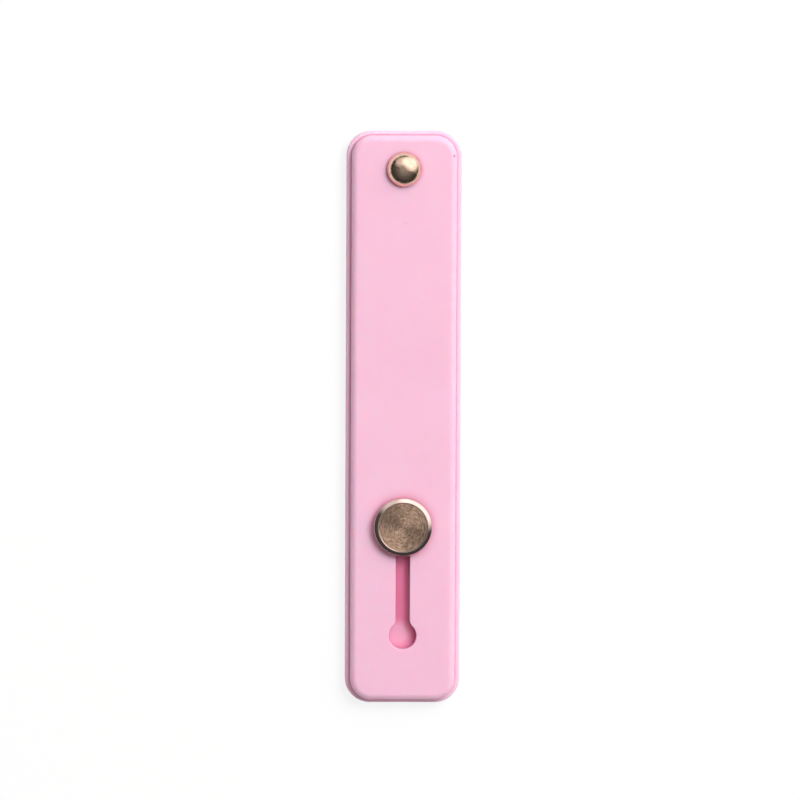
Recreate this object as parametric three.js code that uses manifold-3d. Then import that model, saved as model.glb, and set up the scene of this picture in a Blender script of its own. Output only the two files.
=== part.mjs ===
// Finger strap for the back of a phone, in millimetres, lying on its adhesive face with +Z up.
// +Y runs from the slotted end of the strap to the riveted end, and the origin is the centre of the adhesive face.
// A soft moulded strap lies on a stiff plate. A rivet clamps one end of the strap to the plate. A round stud,
// screwed to the plate, stands in a slot near the other end, so that pushing that end along the stud
// bows the strap up into a loop for a finger.

import * as THREE from 'three';
import { mergeVertices } from 'three/addons/utils/BufferGeometryUtils.js';
import Module from 'manifold-3d';

const wasm = await Module();
wasm.setup();

// Adhesive pad: die-cut double-sided foam tape under the plate.
const padThickness = 0.8;
const padMargin = 1.2;

// Plate: the stiff moulding that carries everything else.
const plateLength = 125;
const plateWidth = 25;
const plateThickness = 2.1;
const plateCornerRadius = 5.5;
const plateUpperFillet = 0.5;
const plateLowerFillet = 0.3;

// Strap: soft moulding, rounded along its upper edge, which leaves a ledge of the plate in view all round.
const endLedge = 0.8;
const sideLedge = 1.1;
const strapThickness = 2.4;
const strapUpperFillet = 1.4;
const strapLowerFillet = 0.25;

// Slot: a narrow neck between two round seats, one where the stud rests and one where it locks the loop.
const slotInset = 14.2;
const slotSeatDiameter = 6.05;
const slotNeckWidth = 3.1;
const slotShoulderRadius = 1.8;
const slotRimFillet = 0.15;
const slotTravel = 24.1;

// Stud: a turned button whose neck stands in the slot's upper seat. Its face is sunk inside a bevelled rim.
const studHeadDiameter = 12.6;
const studHeadHeight = 2.3;
const studBevelWidth = 0.8;
const studBevelHeight = 0.4;
const studRimWidth = 0.12;
const studFaceRecess = 0.15;
const studUndersideChamfer = 0.25;
const studNeckDiameter = 4.2;
const studLift = 0.2;

// Screw: countersunk, up through the plate into the stud.
const screwDiameter = 2.5;
const screwHeadDiameter = 4.7;
const screwHeadLand = 0.2;
const screwEngagement = 3;
const screwTipGap = 0.4;
const crossRecessWidth = 0.6;
const crossRecessLength = 2.4;
const crossRecessDepth = 0.8;

// Rivet: a domed cap crimped over a flanged post, which is pressed into a tube from the back.
const rivetInset = 7.2;
const capDiameter = 7.5;
const capHeight = 3;
const capWall = 0.3;
const capRimHeight = 0.45;
const capLipWidth = 0.9;
const postDiscThickness = 0.5;
const postDiameter = 2;
const footDiameter = 7;
const footThickness = 0.5;
const tubeDiameter = 3;
const tubeTopGap = 0.3;
const postTipGap = 0.3;

// Clearances.
const holeClearance = 0.15;
const fitClearance = 0.06;
const headRecess = 0.1;
const cutMargin = 1;

// Facets.
const cornerSteps = 8;
const seatSteps = 22;
const shoulderSteps = 4;
const filletSteps = 4;
const roundSteps = 40;
const domeSteps = 9;

const quarterTurn = Math.PI / 2;
const plateBottom = padThickness;
const plateTop = plateBottom + plateThickness;
const strapTop = plateTop + strapThickness;
const strapLength = plateLength - 2 * endLedge;
const strapWidth = plateWidth - 2 * sideLedge;
const strapCornerRadius = plateCornerRadius - endLedge;
const lockSeatY = slotInset - strapLength / 2;
const studY = lockSeatY + slotTravel;
const rivetY = strapLength / 2 - rivetInset;

// Points along an arc, turning clockwise where the end angle is the smaller one.
function arc(x, y, radius, from, to, steps) {
  return new THREE.EllipseCurve(x, y, radius, radius, from, to, to < from).getPoints(steps);
}

// One closed outline from several arcs, with the point where two arcs meet kept once.
function joinArcs(arcs) {
  const tooClose = 1e-6;
  const points = arcs.flat();
  return points.filter((point, i) => point.distanceTo(points.at(i - 1)) > tooClose);
}

// Rounded rectangle about the origin, drawn in by an inset on every side.
function roundedRectangle(width, length, radius, inset) {
  const cornerRadius = radius - inset;
  const x = width / 2 - radius;
  const y = length / 2 - radius;
  const corners = [[x, y], [-x, y], [-x, -y], [x, -y]];
  return joinArcs(corners.map(([cornerX, cornerY], i) => (
    arc(cornerX, cornerY, cornerRadius, i * quarterTurn, (i + 1) * quarterTurn, cornerSteps)
  )));
}

// Slot outline with its lower seat at the origin and its upper seat one travel above, widened by growth.
function slotOutline(growth) {
  const seatRadius = slotSeatDiameter / 2;
  const shoulderX = slotNeckWidth / 2 + slotShoulderRadius;
  const shoulderY = Math.sqrt((seatRadius + slotShoulderRadius) ** 2 - shoulderX ** 2);
  const lean = Math.atan2(shoulderY, shoulderX);
  const seat = seatRadius + growth;
  const shoulder = slotShoulderRadius - growth;
  const upperY = slotTravel - shoulderY;
  return joinArcs([
    arc(0, 0, seat, Math.PI - lean, 2 * Math.PI + lean, seatSteps),
    arc(shoulderX, shoulderY, shoulder, Math.PI + lean, Math.PI, shoulderSteps),
    arc(shoulderX, upperY, shoulder, Math.PI, Math.PI - lean, shoulderSteps),
    arc(0, slotTravel, seat, -lean, Math.PI + lean, seatSteps),
    arc(-shoulderX, upperY, shoulder, lean, 0, shoulderSteps),
    arc(-shoulderX, shoulderY, shoulder, 0, -lean, shoulderSteps),
  ]);
}

// Closed solid through a stack of outlines with equal point counts, lowest layer first.
function loft(layers) {
  const count = layers[0].points.length;
  const positions = layers.flatMap(({ z, points }) => points.flatMap((point) => [point.x, point.y, z]));
  const index = [];
  for (let layer = 0; layer + 1 < layers.length; layer += 1) {
    for (let i = 0; i < count; i += 1) {
      const here = layer * count + i;
      const next = layer * count + (i + 1) % count;
      index.push(here, next, next + count, here, next + count, here + count);
    }
  }
  const lastLayer = (layers.length - 1) * count;
  THREE.ShapeUtils.triangulateShape(layers[0].points, [])
    .forEach(([a, b, c]) => index.push(a, c, b));
  THREE.ShapeUtils.triangulateShape(layers.at(-1).points, [])
    .forEach(([a, b, c]) => index.push(lastLayer + a, lastLayer + b, lastLayer + c));
  const geometry = new THREE.BufferGeometry();
  geometry.setAttribute('position', new THREE.Float32BufferAttribute(positions, 3));
  geometry.setIndex(index);
  return geometry;
}

// Slab from z = 0 up with a rounded lower and upper edge. outline(inset) gives the shape of a layer.
function filletedSlab(outline, thickness, lowerFillet, upperFillet) {
  const turns = Array.from({ length: filletSteps + 1 }, (_, i) => (i / filletSteps) * quarterTurn);
  const lower = turns.map((turn) => ({
    z: lowerFillet * (1 - Math.cos(turn)),
    points: outline(lowerFillet * (1 - Math.sin(turn))),
  }));
  const upper = turns.map((turn) => ({
    z: thickness - upperFillet * (1 - Math.sin(turn)),
    points: outline(upperFillet * (1 - Math.cos(turn))),
  }));
  return loft([...lower, ...upper]);
}

// Solid of revolution about +Z from [radius, height] pairs, anticlockwise around the section.
function turned(profile) {
  const points = profile.map(([radius, height]) => new THREE.Vector2(radius, height));
  return new THREE.LatheGeometry(points, roundSteps).rotateX(quarterTurn);
}

// Geometry as a solid that can be cut, from its positions alone.
function toSolid(geometry) {
  const bare = geometry.clone().deleteAttribute('normal').deleteAttribute('uv');
  const merged = mergeVertices(bare, 1e-4);
  return new wasm.Manifold(new wasm.Mesh({
    numProp: 3,
    vertProperties: merged.getAttribute('position').array,
    triVerts: new Uint32Array(merged.getIndex().array),
  }));
}

// Geometry with each of the cutters taken out of it.
function cut(geometry, cutters) {
  const solid = cutters.reduce((left, cutter) => left.subtract(toSolid(cutter)), toSolid(geometry));
  const { vertProperties, triVerts } = solid.getMesh();
  const result = new THREE.BufferGeometry();
  result.setAttribute('position', new THREE.BufferAttribute(vertProperties, 3));
  result.setIndex(new THREE.BufferAttribute(triVerts, 1));
  return result;
}

// Foam tape with straight die-cut edges, inside the plate's outline.
function padGeometry() {
  const outline = () => roundedRectangle(
    plateWidth - 2 * padMargin,
    plateLength - 2 * padMargin,
    plateCornerRadius - padMargin,
    0,
  );
  return loft([{ z: 0, points: outline() }, { z: padThickness, points: outline() }]);
}

// Countersink and clearance hole for the screw, measured up from the plate's lower face.
function screwHoleCutter() {
  const shankRadius = screwDiameter / 2 + holeClearance;
  const mouthRadius = screwHeadDiameter / 2 + fitClearance;
  const landTop = headRecess + screwHeadLand + fitClearance;
  return turned([
    [0, -cutMargin],
    [mouthRadius, -cutMargin],
    [mouthRadius, landTop],
    [shankRadius, landTop + mouthRadius - shankRadius],
    [shankRadius, plateThickness + cutMargin],
    [0, plateThickness + cutMargin],
  ]).translate(0, studY, 0);
}

// Counterbore for the rivet's foot and the hole for its tube, measured up from the plate's lower face.
function rivetHoleCutter() {
  const footRadius = footDiameter / 2 + holeClearance;
  const tubeRadius = tubeDiameter / 2 + holeClearance;
  const counterboreDepth = headRecess + footThickness;
  return turned([
    [0, -cutMargin],
    [footRadius, -cutMargin],
    [footRadius, counterboreDepth],
    [tubeRadius, counterboreDepth],
    [tubeRadius, plateThickness + cutMargin],
    [0, plateThickness + cutMargin],
  ]).translate(0, rivetY, 0);
}

function plateGeometry() {
  const outline = (inset) => roundedRectangle(plateWidth, plateLength, plateCornerRadius, inset);
  const slab = filletedSlab(outline, plateThickness, plateLowerFillet, plateUpperFillet);
  return cut(slab, [screwHoleCutter(), rivetHoleCutter()]);
}

// The slot's upper rim is rounded over, so its cutter flares towards the strap's upper face.
function slotCutter() {
  const flare = Array.from({ length: filletSteps + 1 }, (_, i) => {
    const turn = (i / filletSteps) * quarterTurn;
    return {
      z: strapThickness - slotRimFillet * (1 - Math.sin(turn)),
      points: slotOutline(slotRimFillet * (1 - Math.cos(turn))),
    };
  });
  const cutter = loft([
    { z: -cutMargin, points: slotOutline(0) },
    ...flare,
    { z: strapThickness + cutMargin, points: slotOutline(slotRimFillet) },
  ]);
  return cutter.translate(0, lockSeatY, 0);
}

function strapGeometry() {
  const outline = (inset) => roundedRectangle(strapWidth, strapLength, strapCornerRadius, inset);
  const slab = filletedSlab(outline, strapThickness, strapLowerFillet, strapUpperFillet);
  const tubeRadius = tubeDiameter / 2 + holeClearance;
  const rivetHole = turned([
    [0, -cutMargin],
    [tubeRadius, -cutMargin],
    [tubeRadius, strapThickness + cutMargin],
    [0, strapThickness + cutMargin],
  ]).translate(0, rivetY, 0);
  return cut(slab, [slotCutter(), rivetHole]);
}

// Button with a sunk face, a bevelled rim and a blind hole for the thread, seated at z = 0 on the plate.
function studGeometry() {
  const headBottom = strapThickness + studLift;
  const headTop = headBottom + studHeadHeight;
  const headRadius = studHeadDiameter / 2;
  const rimRadius = headRadius - studBevelWidth - studRimWidth;
  const neckRadius = studNeckDiameter / 2;
  const threadRadius = screwDiameter / 2 + fitClearance;
  const threadDepth = screwEngagement + screwTipGap;
  return turned([
    [0, threadDepth],
    [threadRadius, threadDepth],
    [threadRadius, 0],
    [neckRadius, 0],
    [neckRadius, headBottom],
    [headRadius - studUndersideChamfer, headBottom],
    [headRadius, headBottom + studUndersideChamfer],
    [headRadius, headTop - studBevelHeight],
    [rimRadius + studRimWidth, headTop],
    [rimRadius, headTop],
    [rimRadius - studFaceRecess, headTop - studFaceRecess],
    [0, headTop - studFaceRecess],
  ]);
}

// Countersunk screw with its head at z = 0 and a cross recess for the driver.
function screwGeometry() {
  const headRadius = screwHeadDiameter / 2;
  const shankRadius = screwDiameter / 2;
  const coneTop = screwHeadLand + headRadius - shankRadius;
  const tip = plateThickness - headRecess + screwEngagement;
  const body = turned([
    [0, 0],
    [headRadius, 0],
    [headRadius, screwHeadLand],
    [shankRadius, coneTop],
    [shankRadius, tip],
    [0, tip],
  ]);
  const recessHeight = 2 * crossRecessDepth;
  return cut(body, [
    new THREE.BoxGeometry(crossRecessLength, crossRecessWidth, recessHeight),
    new THREE.BoxGeometry(crossRecessWidth, crossRecessLength, recessHeight),
  ]);
}

// Quarter ellipse of the rivet cap's dome, from its widest line to the axis, drawn in by an inset.
function domeCurve(inset) {
  const radius = capDiameter / 2 - inset;
  const rise = capHeight - capRimHeight - inset;
  return new THREE.EllipseCurve(0, capRimHeight, radius, rise, 0, quarterTurn);
}

// Thin dome from z = 0 up, widest a little above its base, with a lip crimped in under the post's disc.
function rivetCapGeometry() {
  const radius = capDiameter / 2;
  const rim = arc(radius - capRimHeight, capRimHeight, capRimHeight, -quarterTurn, 0, filletSteps);
  const outer = domeCurve(0).getPoints(domeSteps);
  const inner = domeCurve(capWall).getPoints(domeSteps).reverse();
  const section = [
    ...inner.map(({ x, y }) => [x, y]),
    [radius - capWall, capWall],
    [radius - capLipWidth, capWall],
    [radius - capLipWidth, 0],
    ...rim.map(({ x, y }) => [x, y]),
    ...outer.slice(1).map(({ x, y }) => [x, y]),
  ];
  section[0][0] = 0;
  section.at(-1)[0] = 0;
  return turned(section);
}

// Disc held in the cap with a solid pin below it. z = 0 is the strap's upper face.
function rivetPostGeometry() {
  const discTop = capWall + postDiscThickness;
  const innerDome = domeCurve(capWall);
  const relativeHeight = Math.max(0, discTop - capRimHeight) / innerDome.yRadius;
  const discRadius = innerDome.xRadius * Math.sqrt(1 - relativeHeight ** 2) - fitClearance;
  const pinRadius = postDiameter / 2;
  const footTop = headRecess + footThickness - plateThickness - strapThickness;
  const tip = footTop + postTipGap;
  return turned([
    [0, tip],
    [pinRadius, tip],
    [pinRadius, capWall],
    [discRadius, capWall],
    [discRadius, discTop],
    [0, discTop],
  ]);
}

// Flat foot with a tube that grips the pin. z = 0 is the foot's lower face.
function rivetFootGeometry() {
  const boreRadius = postDiameter / 2 + fitClearance;
  const tubeRadius = tubeDiameter / 2;
  const footRadius = footDiameter / 2;
  const tubeTop = plateThickness + strapThickness - headRecess - tubeTopGap;
  return turned([
    [0, 0],
    [footRadius, 0],
    [footRadius, footThickness],
    [tubeRadius, footThickness],
    [tubeRadius, tubeTop],
    [boreRadius, tubeTop],
    [boreRadius, footThickness],
    [0, footThickness],
  ]);
}

function silicone() {
  return new THREE.MeshStandardMaterial({ color: '#f4bfd8', roughness: 0.62, metalness: 0 });
}

function plateMoulding() {
  return new THREE.MeshStandardMaterial({ color: '#f0b6d0', roughness: 0.5, metalness: 0 });
}

function foamTape() {
  return new THREE.MeshStandardMaterial({ color: '#e9e7e2', roughness: 0.85, metalness: 0 });
}

function polishedGold() {
  return new THREE.MeshStandardMaterial({ color: '#d9b98f', roughness: 0.18, metalness: 1 });
}

function turnedGold() {
  return new THREE.MeshStandardMaterial({ color: '#b99a7a', roughness: 0.34, metalness: 1 });
}

function platedSteel() {
  return new THREE.MeshStandardMaterial({ color: '#b4b2ad', roughness: 0.35, metalness: 1 });
}

// A named sub-part at its height, and at its place along the plate where it isn't centred.
function subpart(name, geometry, material, z, y = 0) {
  const mesh = new THREE.Mesh(geometry, material);
  mesh.name = name;
  mesh.position.set(0, y, z);
  return mesh;
}

function plateAssembly() {
  const group = new THREE.Group();
  group.add(subpart('adhesive_pad', padGeometry(), foamTape(), 0));
  group.add(subpart('base_plate', plateGeometry(), plateMoulding(), plateBottom));
  return group;
}

function studAssembly() {
  const group = new THREE.Group();
  group.add(subpart('stud', studGeometry(), turnedGold(), plateTop));
  group.add(subpart('stud_screw', screwGeometry(), platedSteel(), plateBottom + headRecess));
  group.position.y = studY;
  return group;
}

function rivetAssembly() {
  const group = new THREE.Group();
  group.add(subpart('rivet_cap', rivetCapGeometry(), polishedGold(), strapTop));
  group.add(subpart('rivet_post', rivetPostGeometry(), platedSteel(), strapTop));
  group.add(subpart('rivet_foot', rivetFootGeometry(), platedSteel(), plateBottom + headRecess));
  group.position.y = rivetY;
  return group;
}

const fingerStrap = new THREE.Group();
fingerStrap.add(plateAssembly());
fingerStrap.add(subpart('strap', strapGeometry(), silicone(), plateTop));
fingerStrap.add(studAssembly());
fingerStrap.add(rivetAssembly());

export default fingerStrap;
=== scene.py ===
import math

import bpy
from mathutils import Matrix, Vector
from mathutils.geometry import tessellate_polygon


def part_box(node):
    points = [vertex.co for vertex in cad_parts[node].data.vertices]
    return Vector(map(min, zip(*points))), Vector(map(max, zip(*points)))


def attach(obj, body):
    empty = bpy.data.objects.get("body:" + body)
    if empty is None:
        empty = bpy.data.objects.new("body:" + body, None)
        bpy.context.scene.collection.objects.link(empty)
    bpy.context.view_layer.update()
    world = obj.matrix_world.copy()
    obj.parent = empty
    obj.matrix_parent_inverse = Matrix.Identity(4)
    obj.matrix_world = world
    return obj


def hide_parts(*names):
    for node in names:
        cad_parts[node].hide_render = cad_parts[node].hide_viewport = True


# A pink silicone finger strap on its plate, seen nearly from straight above in soft light from the right.
# Everything is in metres, in the frame's own axes. MM turns the sizes of a drawing into metres.
MM = 0.001

# Sizes that the frame's boxes don't give: outlines and fillets, slot, stud, cap and the plate's back.
PLATE_CORNER = 5.5 * MM
PLATE_UPPER_FILLET = 0.5 * MM
PLATE_LOWER_FILLET = 0.3 * MM
STRAP_CORNER = 4.7 * MM
STRAP_UPPER_FILLET = 1.4 * MM
STRAP_LOWER_FILLET = 0.4 * MM
PAD_CORNER = 4.3 * MM
PAD_EDGE_FILLET = 0.06 * MM

LOCK_SEAT_Y = -47.5 * MM
SLOT_TRAVEL = 24.1 * MM
SLOT_SEAT_RADIUS = 3.025 * MM
SLOT_NECK_WIDTH = 3.1 * MM
SLOT_SHOULDER_RADIUS = 1.8 * MM
SLOT_RIM_FILLET = 0.15 * MM
TUBE_HOLE_RADIUS = 1.65 * MM

STUD_NECK_RADIUS = 2.1 * MM
STUD_LIFT = 0.2 * MM
STUD_BEVEL_WIDTH = 0.8 * MM
STUD_BEVEL_HEIGHT = 0.4 * MM
STUD_RIM_WIDTH = 0.12 * MM
STUD_FACE_RECESS = 0.15 * MM
STUD_UNDERSIDE_CHAMFER = 0.25 * MM
STUD_EDGE_FILLET = 0.05 * MM
STUD_SIDE_FILLET = 0.12 * MM
STUD_SHOULDER_FILLET = 0.18 * MM
STUD_RIM_FILLET = 0.03 * MM
STUD_FACE_FILLET = 0.04 * MM
THREAD_RADIUS = 1.31 * MM
THREAD_DEPTH = 3.4 * MM

CAP_WALL = 0.3 * MM
CAP_RIM_HEIGHT = 0.45 * MM
CAP_LIP_WIDTH = 0.9 * MM

FOOT_HOLE_RADIUS = 3.65 * MM
FOOT_HOLE_DEPTH = 0.6 * MM
SCREW_MOUTH_RADIUS = 2.41 * MM
SCREW_MOUTH_DEPTH = 0.36 * MM
SCREW_HOLE_RADIUS = 1.4 * MM

# The narrow flat border between a fillet and the face beside it, which keeps the face's shading even.
FACE_BORDER = 0.08 * MM
SLOT_BORDER = 0.05 * MM

# Fineness of the curved surfaces.
CORNER_STEPS = 40
FILLET_STEPS = 12
SEAT_STEPS = 72
SHOULDER_STEPS = 12
PROFILE_FILLET_STEPS = 6
DOME_STEPS = 40
LIP_STEPS = 10
LATHE_STEPS = 144
SHARP_ANGLE = math.radians(32)
SAME_POINT = 1e-8

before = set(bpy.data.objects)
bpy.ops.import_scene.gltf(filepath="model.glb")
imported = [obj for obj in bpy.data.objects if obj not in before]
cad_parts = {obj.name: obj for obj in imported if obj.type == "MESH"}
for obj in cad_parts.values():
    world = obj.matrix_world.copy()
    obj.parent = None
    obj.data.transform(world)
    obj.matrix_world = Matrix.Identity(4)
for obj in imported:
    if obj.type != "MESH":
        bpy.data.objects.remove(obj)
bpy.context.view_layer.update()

plate_low, plate_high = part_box("base_plate")
strap_low, strap_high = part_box("strap")
pad_low, pad_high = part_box("adhesive_pad")
stud_low, stud_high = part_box("stud")
cap_low, cap_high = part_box("rivet_cap")
stud_centre = (stud_low + stud_high) / 2
rivet_centre = (cap_low + cap_high) / 2


# Outlines.

def arc(x, y, radius, start, end, steps):
    """Points along an arc from one angle to another."""
    angles = [start + (end - start) * i / steps for i in range(steps + 1)]
    return [Vector((x + radius * math.cos(a), y + radius * math.sin(a))) for a in angles]


def without_repeats(points):
    """The closed outline with each point that lies on the one before it left out."""
    return [p for i, p in enumerate(points) if (p - points[i - 1]).length > SAME_POINT]


def rounded_rectangle(low, high, radius, inset):
    """Rounded rectangle between two corners, drawn in by an inset, anticlockwise from +X."""
    left, right = low.x + radius, high.x - radius
    bottom, top = low.y + radius, high.y - radius
    quarter = math.pi / 2
    corners = [(right, top), (left, top), (left, bottom), (right, bottom)]
    points = []
    for i, (x, y) in enumerate(corners):
        points += arc(x, y, radius - inset, i * quarter, (i + 1) * quarter, CORNER_STEPS)
    return without_repeats(points)


def slot_outline(growth):
    """The slot's two round seats and the neck between them, widened by a growth, anticlockwise."""
    shoulder_x = SLOT_NECK_WIDTH / 2 + SLOT_SHOULDER_RADIUS
    shoulder_y = math.sqrt((SLOT_SEAT_RADIUS + SLOT_SHOULDER_RADIUS) ** 2 - shoulder_x ** 2)
    lean = math.atan2(shoulder_y, shoulder_x)
    seat = SLOT_SEAT_RADIUS + growth
    shoulder = SLOT_SHOULDER_RADIUS - growth
    low = LOCK_SEAT_Y
    high = LOCK_SEAT_Y + SLOT_TRAVEL
    pi = math.pi
    points = arc(0, low, seat, pi - lean, 2 * pi + lean, SEAT_STEPS)
    points += arc(shoulder_x, low + shoulder_y, shoulder, pi + lean, pi, SHOULDER_STEPS)
    points += arc(shoulder_x, high - shoulder_y, shoulder, pi, pi - lean, SHOULDER_STEPS)
    points += arc(0, high, seat, -lean, pi + lean, SEAT_STEPS)
    points += arc(-shoulder_x, high - shoulder_y, shoulder, lean, 0, SHOULDER_STEPS)
    points += arc(-shoulder_x, low + shoulder_y, shoulder, 0, -lean, SHOULDER_STEPS)
    return without_repeats(points)


def round_hole(centre, levels):
    """The rings of a round hole, from its (height, radius) levels, top down."""
    def circle(radius):
        return without_repeats(arc(centre.x, centre.y, radius, 0, 2 * math.pi, SEAT_STEPS))

    return [(height, circle(radius)) for height, radius in levels]


def quarter_turns():
    """Angles from 0 to a quarter turn, for the section of a fillet."""
    return [i / FILLET_STEPS * math.pi / 2 for i in range(FILLET_STEPS + 1)]


# Meshes.

def finish_mesh(name, vertices, faces):
    """An object from points and faces, smooth except across sharp angles."""
    mesh = bpy.data.meshes.new(name)
    mesh.from_pydata(vertices, [], faces)
    mesh.validate()
    mesh.update()
    mesh.shade_smooth()
    mesh.set_sharp_from_angle(angle=SHARP_ANGLE)
    piece = bpy.data.objects.new(name, mesh)
    bpy.context.scene.collection.objects.link(piece)
    return piece


def slab(name, outer, holes=()):
    """A solid between stacked rings. outer runs from its underside up, and each hole from the top down.

    A ring is (height, points), and all the rings of one wall have the same number of points."""
    vertices = []
    faces = []

    def wall(rings):
        starts = []
        for height, points in rings:
            starts.append(len(vertices))
            vertices.extend((p.x, p.y, height) for p in points)
        count = len(rings[0][1])
        for here, above in zip(starts, starts[1:]):
            for i in range(count):
                j = (i + 1) % count
                faces.append((here + i, here + j, above + j, above + i))
        return [range(start, start + count) for start in starts]

    outer_rows = wall(outer)
    hole_rows = [wall(rings) for rings in holes]

    def cover(rows, facing_up):
        ids = [i for row in rows for i in row]
        loops = [[Vector(vertices[i]) for i in row] for row in rows]
        for corner in tessellate_polygon(loops):
            a, b, c = (Vector(vertices[ids[k]]) for k in corner)
            turns_up = (b - a).cross(c - a).z > 0
            order = corner if turns_up == facing_up else tuple(reversed(corner))
            faces.append(tuple(ids[k] for k in order))

    cover([outer_rows[-1]] + [rows[0] for rows in hole_rows], True)
    cover([outer_rows[0]] + [rows[-1] for rows in hole_rows], False)
    return finish_mesh(name, vertices, faces)


def filleted_rings(outline, low, high, lower_fillet, upper_fillet):
    """Rings from the underside up with both edges rounded, and a narrow flat border beside each fillet."""
    rings = [(low, outline(lower_fillet + FACE_BORDER))]
    for turn in quarter_turns():
        rise = lower_fillet * (1 - math.cos(turn))
        rings.append((low + rise, outline(lower_fillet * (1 - math.sin(turn)))))
    for turn in quarter_turns():
        drop = upper_fillet * (1 - math.sin(turn))
        rings.append((high - drop, outline(upper_fillet * (1 - math.cos(turn)))))
    rings.append((high, outline(upper_fillet + FACE_BORDER)))
    return rings


def rounded_profile(corners):
    """Profile points from (radius, height, fillet) corners."""
    points = []
    for i, (x, y, fillet) in enumerate(corners):
        here = Vector((x, y))
        if not fillet:
            points.append(here)
            continue
        before = (Vector(corners[i - 1][:2]) - here).normalized()
        after = (Vector(corners[i + 1][:2]) - here).normalized()
        half = before.angle(after) / 2
        reach = fillet / math.tan(half)
        centre = here + (before + after).normalized() * fillet / math.sin(half)
        first = here + before * reach - centre
        last = here + after * reach - centre
        sweep = first.angle_signed(last)
        for k in range(PROFILE_FILLET_STEPS + 1):
            points.append(centre + Matrix.Rotation(-sweep * k / PROFILE_FILLET_STEPS, 2) @ first)
    return points


def lathe(name, profile, x, y, base):
    """A closed solid of revolution about a vertical axis, from a profile that starts and ends on the axis
    or closes on itself. The profile runs anticlockwise around the section: up the outside, in at the top."""
    vertices = []
    rows = []
    for point in profile:
        start = len(vertices)
        height = base + point.y
        if point.x < SAME_POINT:
            vertices.append((x, y, height))
            rows.append([start] * LATHE_STEPS)
            continue
        for i in range(LATHE_STEPS):
            angle = 2 * math.pi * i / LATHE_STEPS
            vertices.append((x + point.x * math.cos(angle), y + point.x * math.sin(angle), height))
        rows.append(list(range(start, start + LATHE_STEPS)))
    faces = []
    for lower, upper in zip(rows, rows[1:] + rows[:1]):
        for i in range(LATHE_STEPS):
            j = (i + 1) % LATHE_STEPS
            corners = [lower[i], lower[j], upper[j], upper[i]]
            face = [c for k, c in enumerate(corners) if c != corners[k - 1]]
            if len(face) > 2:
                faces.append(tuple(face))
    return finish_mesh(name, vertices, faces)


# Node trees.

WHITE = (1, 1, 1)

# Places of the colour sockets on a mix node, whose names are those of its number sockets too.
MIX_FIRST = 6
MIX_SECOND = 7
MIX_RESULT = 2


def opaque(colour):
    """A plain colour with the fourth number that a colour socket takes. An output stays as it is."""
    return (*colour, 1) if isinstance(colour, tuple) else colour


class Nodes:
    """A node tree that is built by short calls. A value is plain, or another node's output."""

    def __init__(self, tree):
        self.tree = tree

    def add(self, kind, inputs=(), **settings):
        """A node with its settings, and with values for its sockets, by name or in their order."""
        node = self.tree.nodes.new(kind)
        for key, value in settings.items():
            setattr(node, key, value)
        for key, value in inputs.items() if isinstance(inputs, dict) else enumerate(inputs):
            if isinstance(value, bpy.types.NodeSocket):
                self.tree.links.new(value, node.inputs[key])
            else:
                node.inputs[key].default_value = value
        return node

    def math(self, operation, *values):
        return self.add("ShaderNodeMath", values, operation=operation).outputs["Value"]

    def vector(self, operation, *values):
        """A vector, or a number where the operation gives one."""
        node = self.add("ShaderNodeVectorMath", values, operation=operation)
        gives_number = operation in ("LENGTH", "DISTANCE", "DOT_PRODUCT")
        return node.outputs["Value" if gives_number else "Vector"]

    def spread(self, value, low, high, from_low=0.3, from_high=0.7, **settings):
        """A value's span taken to another one. Without a span of its own it is taken as a noise's."""
        ends = {"Value": value, "From Min": from_low, "From Max": from_high, "To Min": low, "To Max": high}
        return self.add("ShaderNodeMapRange", ends, **settings).outputs["Result"]

    def blend(self, factor, first, second):
        """The first colour at a factor of 0, and the second at 1."""
        inputs = {"Factor": factor, MIX_FIRST: opaque(first), MIX_SECOND: opaque(second)}
        return self.add("ShaderNodeMix", inputs, data_type="RGBA").outputs[MIX_RESULT]

    def layer(self, factor, first, second):
        """The first shader at a factor of 0, and the second at 1."""
        return self.add("ShaderNodeMixShader", (factor, first, second)).outputs["Shader"]


class Shader(Nodes):
    """A surface material. What is the same all over it is set on the shader's own sockets."""

    def __init__(self, name, base, roughness, metallic=0.0, **constants):
        self.material = bpy.data.materials.new(name)
        self.material.use_nodes = True
        super().__init__(self.material.node_tree)
        self.sockets = self.tree.nodes["Principled BSDF"].inputs
        self.sockets["Base Color"].default_value = opaque(base)
        self.sockets["Roughness"].default_value = roughness
        self.sockets["Metallic"].default_value = metallic
        for key, value in constants.items():
            self.sockets[key.replace("_", " ")].default_value = value
        self.position = self.add("ShaderNodeTexCoord").outputs["Object"]

    def set(self, socket, output):
        self.tree.links.new(output, self.sockets[socket])

    def noise(self, scale, detail=3, roughness=0.55, vector=None):
        """Noise of so many cells a metre, or of so many a unit of the vector that is given."""
        inputs = {"Scale": scale, "Detail": detail, "Roughness": roughness, "Vector": vector or self.position}
        return self.add("ShaderNodeTexNoise", inputs).outputs["Fac"]

    def near(self, place, radius, softness):
        """1 within a radius of a place, falling to 0 over a softness."""
        distance = self.vector("DISTANCE", self.position, place)
        return self.spread(distance, 1, 0, radius, radius + softness)

    def openness(self, distance, low, high):
        """0 in corners that little light reaches, up to 1 on open faces."""
        node = self.add("ShaderNodeAmbientOcclusion", {"Distance": distance}, samples=8)
        return self.spread(node.outputs["AO"], 0, 1, low, high)

    def bump(self, height, strength, distance, below=None):
        """The normals of a height, on top of those of the bump below it."""
        inputs = {"Height": height, "Strength": strength, "Distance": distance}
        if below:
            inputs["Normal"] = below
        return self.add("ShaderNodeBump", inputs).outputs["Normal"]


# Materials.

# How far red, green and blue light spread inside the pink pieces, beside each other.
PINK_SCATTER = (1.0, 0.22, 0.38)

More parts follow.
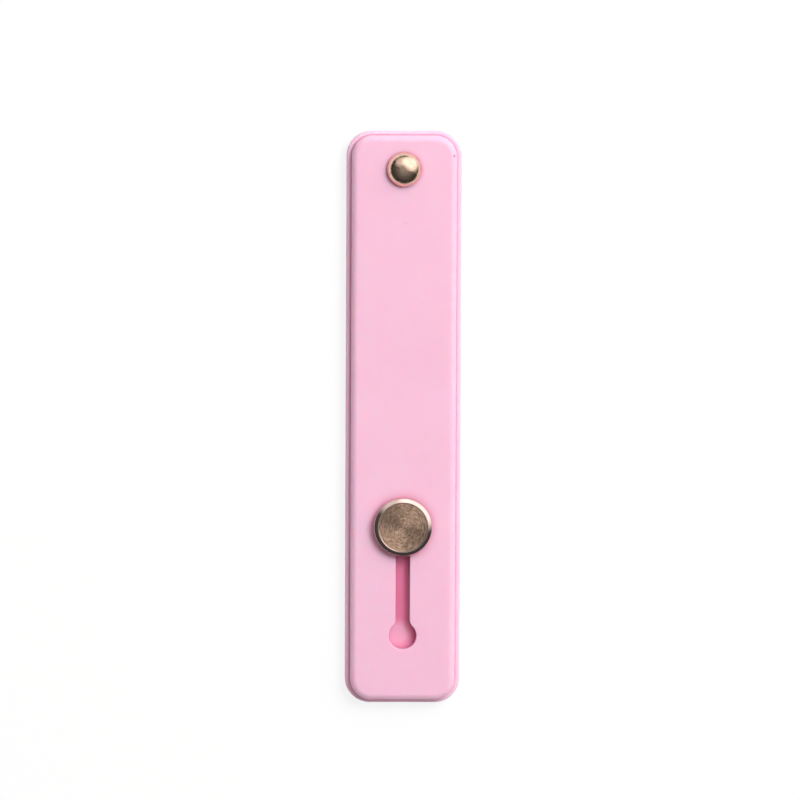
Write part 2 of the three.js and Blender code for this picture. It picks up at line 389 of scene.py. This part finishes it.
# Where the light through the slot's lower seat falls on the plate, the plate's painted shade is halved: from
# the right, so left of the middle.
SEAT_LIGHT = (-0.9 * MM, LOCK_SEAT_Y + 0.1 * MM, plate_high.z)
SEAT_LIGHT_RADIUS = SLOT_SEAT_RADIUS - 1.4 * MM


def silicone_material():
    """Soft satin silicone: fine grain, faint waves, and painted shade, a deeper pink, in corners and creases.
    """
    pale = (0.925, 0.570, 0.725)
    deep = (0.910, 0.540, 0.695)
    painted_corner_shade = (0.640, 0.150, 0.290)
    moulding_marks = (
        # Place, radius, softness, strength, colour.
        ((10.85 * MM, 57.4 * MM, strap_high.z - 0.16 * MM), 0.16 * MM, 0.26 * MM, 0.85, (0.36, 0.16, 0.22)),
        ((0.2 * MM, 42.7 * MM, strap_high.z), 0.05 * MM, 0.45 * MM, 0.25, (0.62, 0.30, 0.42)),
    )
    shader = Shader(
        "silicone", pale, roughness=0.48,
        Subsurface_Weight=0.6, Subsurface_Radius=PINK_SCATTER, Subsurface_Scale=1.6 * MM,
        Specular_IOR_Level=0.4,
    )
    cloud = shader.spread(shader.noise(scale=70, detail=4), 0, 1)
    colour = shader.blend(cloud, pale, deep)
    # Painted shade: the base colour turns a deeper pink where little light reaches, in corners and creases.
    open_faces = shader.openness(distance=3.5 * MM, low=0.25, high=0.86)
    colour = shader.blend(open_faces, painted_corner_shade, colour)
    for place, radius, softness, strength, mark_colour in moulding_marks:
        mark = shader.math("MULTIPLY", shader.near(place, radius, softness), strength)
        colour = shader.blend(mark, colour, mark_colour)
    shader.set("Base Color", colour)
    shader.set("Roughness", shader.spread(shader.noise(scale=420, detail=4), 0.42, 0.54))
    waves = shader.bump(shader.noise(scale=110, detail=2), strength=0.35, distance=0.06 * MM)
    grain = shader.noise(scale=5200, detail=2)
    shader.set("Normal", shader.bump(grain, strength=0.35, distance=0.006 * MM, below=waves))
    return shader.material


def plate_material():
    """The plate's moulding: the same pink, a little glossier, with painted shade, a deeper pink, under the
    strap, just beyond its edge and in its slot.
    """
    pale = (0.925, 0.610, 0.755)
    deep = (0.910, 0.575, 0.725)
    painted_crease_shade = (0.730, 0.210, 0.370)
    shader = Shader(
        "plate_moulding", pale, roughness=0.42,
        Subsurface_Weight=0.5, Subsurface_Radius=PINK_SCATTER, Subsurface_Scale=1.4 * MM,
        Specular_IOR_Level=0.4,
    )
    colour = shader.blend(shader.spread(shader.noise(scale=90, detail=4), 0, 1), pale, deep)
    # Distance outside the strap's outline, from the centres of its round corners.
    half_x = (strap_high.x - strap_low.x) / 2 - STRAP_CORNER
    half_y = (strap_high.y - strap_low.y) / 2 - STRAP_CORNER
    beyond = shader.vector("SUBTRACT", shader.vector("ABSOLUTE", shader.position), (half_x, half_y, 1))
    beyond = shader.vector("MAXIMUM", beyond, (0, 0, 0))
    outside_strap = shader.math("SUBTRACT", shader.vector("LENGTH", beyond), STRAP_CORNER)
    # Painted shade: a deeper pink under the strap and just beyond its edge, halved where light falls through
    # the lower seat.
    under_strap = shader.spread(outside_strap, 1, 0, -0.15 * MM, 0.35 * MM)
    seat = shader.near(SEAT_LIGHT, SEAT_LIGHT_RADIUS, softness=2.0 * MM)
    shade = shader.math("MULTIPLY", under_strap, shader.spread(seat, 1, 0.5, 0, 1))
    shader.set("Base Color", shader.blend(shade, colour, painted_crease_shade))
    shader.set("Roughness", shader.spread(shader.noise(scale=520, detail=4), 0.36, 0.48))
    grain = shader.noise(scale=6000, detail=2)
    shader.set("Normal", shader.bump(grain, strength=0.3, distance=0.005 * MM))
    return shader.material


def foam_material():
    """White foam tape with open cells over all its faces."""
    shader = Shader("foam_tape", (0.80, 0.79, 0.76), roughness=0.7, Specular_IOR_Level=0.3)
    inputs = {"Scale": 4200, "Vector": shader.position}
    cells = shader.add("ShaderNodeTexVoronoi", inputs, feature="F1").outputs["Distance"]
    cell_depth_and_shade = shader.spread(cells, 0, 1, 0.1, 0.6)
    # Painted shade: the cells' pits are coloured darker, besides their bump.
    shader.set("Base Color", shader.blend(cell_depth_and_shade, (0.66, 0.65, 0.62), (0.84, 0.83, 0.80)))
    shader.set("Roughness", shader.spread(shader.noise(scale=900), 0.55, 0.8))
    shader.set("Normal", shader.bump(cell_depth_and_shade, strength=0.5, distance=0.03 * MM))
    return shader.material


def polished_gold_material():
    """Polished pale gold plating with the faint unevenness of a pressed cap."""
    shader = Shader("polished_gold", (0.90, 0.66, 0.50), roughness=0.15, metallic=1.0)
    stain = shader.spread(shader.noise(scale=700, detail=4), 0, 1)
    shader.set("Base Color", shader.blend(stain, (0.93, 0.69, 0.53), (0.78, 0.53, 0.39)))
    shader.set("Roughness", shader.spread(shader.noise(scale=1800, detail=4), 0.12, 0.26))
    shader.set("Normal", shader.bump(shader.noise(scale=1700), strength=0.8, distance=0.05 * MM))
    return shader.material


def turned_gold_material():
    """The stud: fine circular tool lines over its face, with painted shade and glints along them, and a
    polished bevel and side.
    """
    lines_per_metre = 4600
    line_breaks = 4.5
    middle_radius = 0.05 * MM
    line_share, grain_share = 0.8, 0.2
    painted_groove_shade, painted_ridge_glint = (0.42, 0.245, 0.160), (0.98, 0.68, 0.50)
    bevel_colour = (0.81, 0.61, 0.54)
    bevel_roughness = 0.14
    shader = Shader(
        "turned_gold", (0.70, 0.50, 0.37), roughness=0.34, metallic=1.0,
        Anisotropic=0.8, Anisotropic_Rotation=0.25,
    )
    from_axis = shader.vector("SUBTRACT", shader.position, (stud_centre.x, stud_centre.y, 0))
    x, y, _ = shader.add("ShaderNodeSeparateXYZ", (from_axis,)).outputs
    squares = [shader.math("MULTIPLY", part, part) for part in (x, y)]
    radius = shader.math("SQRT", shader.math("ADD", *squares))
    face_edge = (stud_high.x - stud_low.x) / 2 - STUD_BEVEL_WIDTH - STUD_RIM_WIDTH - STUD_FACE_RECESS
    on_face = shader.spread(radius, 1, 0, face_edge, face_edge + 0.03 * MM)

    # A noise that changes fast along the radius and slowly round the axis is drawn out into arcs.
    outside_middle = shader.math("MAXIMUM", radius, middle_radius)
    around = [shader.math("MULTIPLY", radius, lines_per_metre)]
    for part in (x, y):
        bearing = shader.math("DIVIDE", part, outside_middle)
        around.append(shader.math("MULTIPLY", bearing, line_breaks))
    around = shader.add("ShaderNodeCombineXYZ", around).outputs["Vector"]
    rings = shader.noise(scale=1, detail=4, roughness=0.65, vector=around)
    rings = shader.math("MULTIPLY", rings, line_share)
    lines = shader.math("MULTIPLY_ADD", shader.noise(scale=2600), grain_share, rings)

    # The tool lines are bumps, and their arcs are also painted darker and lighter as shade and glints.
    face_colour = shader.blend(shader.spread(lines, 0, 1, 0.40, 0.60), painted_groove_shade, painted_ridge_glint)
    shader.set("Base Color", shader.blend(on_face, bevel_colour, face_colour))
    face_roughness = shader.spread(lines, 0.30, 0.44)
    extra = shader.math("MULTIPLY", shader.math("SUBTRACT", face_roughness, bevel_roughness), on_face)
    shader.set("Roughness", shader.math("ADD", extra, bevel_roughness))
    height = shader.math("MULTIPLY", lines, on_face)
    shader.set("Normal", shader.bump(height, strength=0.9, distance=0.025 * MM))
    tangent = shader.add("ShaderNodeTangent", direction_type="RADIAL", axis="Z")
    shader.set("Tangent", tangent.outputs["Tangent"])
    return shader.material


def plated_steel_material():
    """Nickel-plated steel of the hidden fasteners."""
    shader = Shader("plated_steel", (0.50, 0.49, 0.47), roughness=0.32, metallic=1.0)
    stain = shader.noise(scale=800, detail=4)
    shader.set("Base Color", shader.blend(stain, (0.46, 0.45, 0.43), (0.56, 0.55, 0.53)))
    shader.set("Roughness", shader.spread(shader.noise(scale=1600, detail=4), 0.26, 0.4))
    return shader.material


# Pieces.

def dress(piece, node, material):
    """Puts a piece in a node's place."""
    piece.data.materials.append(material)
    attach(piece, "root")
    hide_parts(node)


def make_plate():
    def outline(inset):
        return rounded_rectangle(plate_low, plate_high, PLATE_CORNER, inset)

    low, high = plate_low.z, plate_high.z
    mouth = low + SCREW_MOUTH_DEPTH
    cone_top = mouth + SCREW_MOUTH_RADIUS - SCREW_HOLE_RADIUS
    screw_hole = round_hole(stud_centre, (
        (high, SCREW_HOLE_RADIUS),
        (cone_top, SCREW_HOLE_RADIUS),
        (mouth, SCREW_MOUTH_RADIUS),
        (low, SCREW_MOUTH_RADIUS),
    ))
    step = low + FOOT_HOLE_DEPTH
    foot_hole = round_hole(rivet_centre, (
        (high, TUBE_HOLE_RADIUS),
        (step, TUBE_HOLE_RADIUS),
        (step, FOOT_HOLE_RADIUS),
        (low, FOOT_HOLE_RADIUS),
    ))
    rings = filleted_rings(outline, low, high, PLATE_LOWER_FILLET, PLATE_UPPER_FILLET)
    return slab("plate_body", rings, [screw_hole, foot_hole])


def make_strap():
    def outline(inset):
        return rounded_rectangle(strap_low, strap_high, STRAP_CORNER, inset)

    low, high = strap_low.z, strap_high.z
    slot = [(high, slot_outline(SLOT_RIM_FILLET + SLOT_BORDER))]
    for turn in quarter_turns():
        drop = SLOT_RIM_FILLET * (1 - math.cos(turn))
        slot.append((high - drop, slot_outline(SLOT_RIM_FILLET * (1 - math.sin(turn)))))
    slot.append((low, slot_outline(0)))
    rivet_hole = round_hole(rivet_centre, ((high, TUBE_HOLE_RADIUS), (low, TUBE_HOLE_RADIUS)))
    rings = filleted_rings(outline, low, high, STRAP_LOWER_FILLET, STRAP_UPPER_FILLET)
    return slab("strap_body", rings, [slot, rivet_hole])


def make_pad():
    def outline(inset):
        return rounded_rectangle(pad_low, pad_high, PAD_CORNER, inset)

    return slab("foam_pad", filleted_rings(outline, pad_low.z, pad_high.z, PAD_EDGE_FILLET, PAD_EDGE_FILLET))


def make_stud():
    radius = (stud_high.x - stud_low.x) / 2
    top = stud_high.z - stud_low.z
    under = strap_high.z + STUD_LIFT - stud_low.z
    rim = radius - STUD_BEVEL_WIDTH - STUD_RIM_WIDTH
    corners = [
        (0, THREAD_DEPTH, 0),
        (THREAD_RADIUS, THREAD_DEPTH, 0),
        (THREAD_RADIUS, 0, 0),
        (STUD_NECK_RADIUS, 0, 0),
        (STUD_NECK_RADIUS, under, 0),
        (radius - STUD_UNDERSIDE_CHAMFER, under, STUD_EDGE_FILLET),
        (radius, under + STUD_UNDERSIDE_CHAMFER, STUD_SIDE_FILLET),
        (radius, top - STUD_BEVEL_HEIGHT, STUD_SHOULDER_FILLET),
        (rim + STUD_RIM_WIDTH, top, STUD_EDGE_FILLET),
        (rim, top, STUD_RIM_FILLET),
        (rim - STUD_FACE_RECESS, top - STUD_FACE_RECESS, STUD_FACE_FILLET),
        (0, top - STUD_FACE_RECESS, 0),
    ]
    return lathe("stud_button", rounded_profile(corners), stud_centre.x, stud_centre.y, stud_low.z)


def make_cap():
    radius = (cap_high.x - cap_low.x) / 2
    height = cap_high.z - cap_low.z
    quarter = math.pi / 2

    def dome(inset):
        rise = height - CAP_RIM_HEIGHT - inset
        angles = [quarter * i / DOME_STEPS for i in range(DOME_STEPS + 1)]
        return [Vector(((radius - inset) * math.cos(a), CAP_RIM_HEIGHT + rise * math.sin(a))) for a in angles]

    profile = list(reversed(dome(CAP_WALL)))
    profile += [
        Vector((radius - CAP_WALL, CAP_WALL)),
        Vector((radius - CAP_LIP_WIDTH, CAP_WALL)),
        Vector((radius - CAP_LIP_WIDTH, 0)),
    ]
    profile += arc(radius - CAP_RIM_HEIGHT, CAP_RIM_HEIGHT, CAP_RIM_HEIGHT, -quarter, 0, LIP_STEPS)
    profile += dome(0)[1:]
    return lathe("rivet_dome", profile, rivet_centre.x, rivet_centre.y, cap_low.z)


dress(make_plate(), "base_plate", plate_material())
dress(make_strap(), "strap", silicone_material())
dress(make_pad(), "adhesive_pad", foam_material())
dress(make_stud(), "stud", turned_gold_material())
dress(make_cap(), "rivet_cap", polished_gold_material())

steel = plated_steel_material()
for name in ("stud_screw", "rivet_post", "rivet_foot"):
    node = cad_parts[name]
    node.data.materials.clear()
    node.data.materials.append(steel)

# Camera: a long lens, tipped a little towards the riveted end and the left side.

# Where the frame's origin lands in the picture, and how many pixels a metre takes.
PICTURE_SIZE = 800
ORIGIN_PIXEL = (403.0, 416.3)
PIXELS_PER_METRE = 4595
CAMERA_DISTANCE = 2.0
CAMERA_LEAN = (-0.02, 0.12)
CAMERA_ROLL = math.radians(0.25)
CAMERA_SEES_FROM = 0.1
CAMERA_SEES_TO = 20


def make_camera():
    to_camera = Vector((*CAMERA_LEAN, 1)).normalized()
    across = Vector((0, 1, 0)).cross(to_camera).normalized()
    upward = to_camera.cross(across)
    aim = across * (PICTURE_SIZE / 2 - ORIGIN_PIXEL[0]) / PIXELS_PER_METRE
    aim += upward * (ORIGIN_PIXEL[1] - PICTURE_SIZE / 2) / PIXELS_PER_METRE
    data = bpy.data.cameras.new("camera")
    data.lens = data.sensor_width * CAMERA_DISTANCE * PIXELS_PER_METRE / PICTURE_SIZE
    data.clip_start = CAMERA_SEES_FROM
    data.clip_end = CAMERA_SEES_TO
    camera = bpy.data.objects.new("camera", data)
    facing = Matrix((across, upward, to_camera)).transposed() @ Matrix.Rotation(CAMERA_ROLL, 3, "Z")
    camera.matrix_world = Matrix.Translation(aim + to_camera * CAMERA_DISTANCE) @ facing.to_4x4()
    bpy.context.scene.collection.objects.link(camera)
    bpy.context.scene.camera = camera


# Floor: a pale sheet, open under the foam pad, and clear when it is seen from below.

FLOOR_SIZE = 12
FLOOR_DROP = 0.02 * MM
HOLE_MARGIN = 1.0 * MM
FLOOR_COLOUR = (0.9, 0.9, 0.9)
# What looks at the floor sees this much of it as an even white of this strength, over its shadows.
FLOOR_WHITE_SHARE = 0.78
FLOOR_WHITE = 1.03


def floor_material():
    material = bpy.data.materials.new("floor")
    material.use_nodes = True
    material.node_tree.nodes.clear()
    nodes = Nodes(material.node_tree)
    paper = nodes.add("ShaderNodeBsdfDiffuse", {"Color": opaque(FLOOR_COLOUR)}).outputs["BSDF"]
    glow = {"Color": opaque(WHITE), "Strength": FLOOR_WHITE}
    white = nodes.add("ShaderNodeEmission", glow).outputs["Emission"]
    path = nodes.add("ShaderNodeLightPath").outputs
    looked_at = nodes.math("MAXIMUM", path["Is Camera Ray"], path["Is Glossy Ray"])
    looked_at = nodes.math("MAXIMUM", looked_at, path["Is Transmission Ray"])
    sheet = nodes.layer(looked_at, paper, nodes.layer(FLOOR_WHITE_SHARE, paper, white))
    from_below = nodes.add("ShaderNodeNewGeometry").outputs["Backfacing"]
    clear = nodes.add("ShaderNodeBsdfTransparent").outputs["BSDF"]
    nodes.add("ShaderNodeOutputMaterial", {"Surface": nodes.layer(from_below, sheet, clear)})
    return material


def make_floor():
    half = FLOOR_SIZE / 2
    corners = ((-half, -half), (half, -half), (half, half), (-half, half))
    opening = rounded_rectangle(pad_low, pad_high, PAD_CORNER, -HOLE_MARGIN)
    edge = [Vector((x, y, -FLOOR_DROP)) for x, y in corners]
    hole = [Vector((p.x, p.y, -FLOOR_DROP)) for p in opening]
    points = edge + hole
    faces = []
    for a, b, c in tessellate_polygon([edge, hole]):
        up = (points[b] - points[a]).cross(points[c] - points[a]).z > 0
        faces.append((a, b, c) if up else (c, b, a))
    mesh = bpy.data.meshes.new("floor")
    mesh.from_pydata(points, [], faces)
    mesh.materials.append(floor_material())
    floor = bpy.data.objects.new("floor", mesh)
    bpy.context.scene.collection.objects.link(floor)


# Light: a lamp up to the right inside a wide soft glow, a weak fill from the near end, and a room that is
# dim low down.

LAMP_COLOUR = (1.0, 0.985, 0.965)
LAMP_DISTANCE = 0.8
LAMPS = (
    # Name, azimuth, elevation, side, power.
    ("lamp", 43, 54, 0.34, 3.85),
    ("fill", 262, 32, 0.5, 0.6),
)
GLOWS = (
    # Azimuth, elevation, radius of the full glow, radius where it ends, strength.
    (42, 38, 20, 50, 1.45),
    (112, 42, 8, 36, 0.8),
)
# The room is white below the first height, and from there up its grey goes by height, where 1 is overhead.
HORIZON_WHITE_BELOW = 0.045
HORIZON_SOFTNESS = 0.01
ROOM_LEVELS = ((0.05, 0.03), (0.35, 0.04), (0.65, 0.07), (0.88, 0.16), (1.0, 0.34))


def direction_to(azimuth, elevation):
    """The direction at an azimuth and an elevation in degrees."""
    azimuth, elevation = math.radians(azimuth), math.radians(elevation)
    return Vector((
        math.cos(azimuth) * math.cos(elevation),
        math.sin(azimuth) * math.cos(elevation),
        math.sin(elevation),
    ))


def make_lamp(name, azimuth, elevation, size, power):
    data = bpy.data.lights.new(name, "AREA")
    data.shape = "SQUARE"
    data.size = size
    data.energy = power
    data.color = LAMP_COLOUR
    lamp = bpy.data.objects.new(name, data)
    towards = direction_to(azimuth, elevation)
    lamp.location = towards * LAMP_DISTANCE
    lamp.rotation_mode = "QUATERNION"
    lamp.rotation_quaternion = towards.to_track_quat("Z", "Y")
    lamp.visible_glossy = False
    bpy.context.scene.collection.objects.link(lamp)


def make_world():
    world = bpy.data.worlds.new("world")
    bpy.context.scene.world = world
    world.use_nodes = True
    nodes = Nodes(world.node_tree)
    direction = nodes.add("ShaderNodeTexCoord").outputs["Generated"]
    height = nodes.add("ShaderNodeSeparateXYZ", (direction,)).outputs["Z"]
    room = nodes.add("ShaderNodeValToRGB", (height,))
    stops = room.color_ramp.elements
    for i, (place, level) in enumerate(ROOM_LEVELS):
        stop = stops[i] if i < len(stops) else stops.new(place)
        stop.position = place
        stop.color = (level, level, level, 1)
    light = room.outputs["Color"]
    for azimuth, elevation, inner, outer, strength in GLOWS:
        towards_glow = nodes.vector("DOT_PRODUCT", direction, direction_to(azimuth, elevation))
        full, none = math.cos(math.radians(inner)), math.cos(math.radians(outer))
        glow = nodes.spread(towards_glow, 0, strength, none, full, interpolation_type="SMOOTHSTEP")
        light = nodes.vector("ADD", light, glow)
    low_down = nodes.spread(height, 1, 0, HORIZON_WHITE_BELOW, HORIZON_WHITE_BELOW + HORIZON_SOFTNESS)
    background = world.node_tree.nodes["Background"].inputs
    world.node_tree.links.new(nodes.blend(low_down, light, WHITE), background["Color"])
    background["Strength"].default_value = 1


make_camera()
make_floor()
for lamp in LAMPS:
    make_lamp(*lamp)
make_world()
bpy.context.scene.view_settings.view_transform = "Standard"
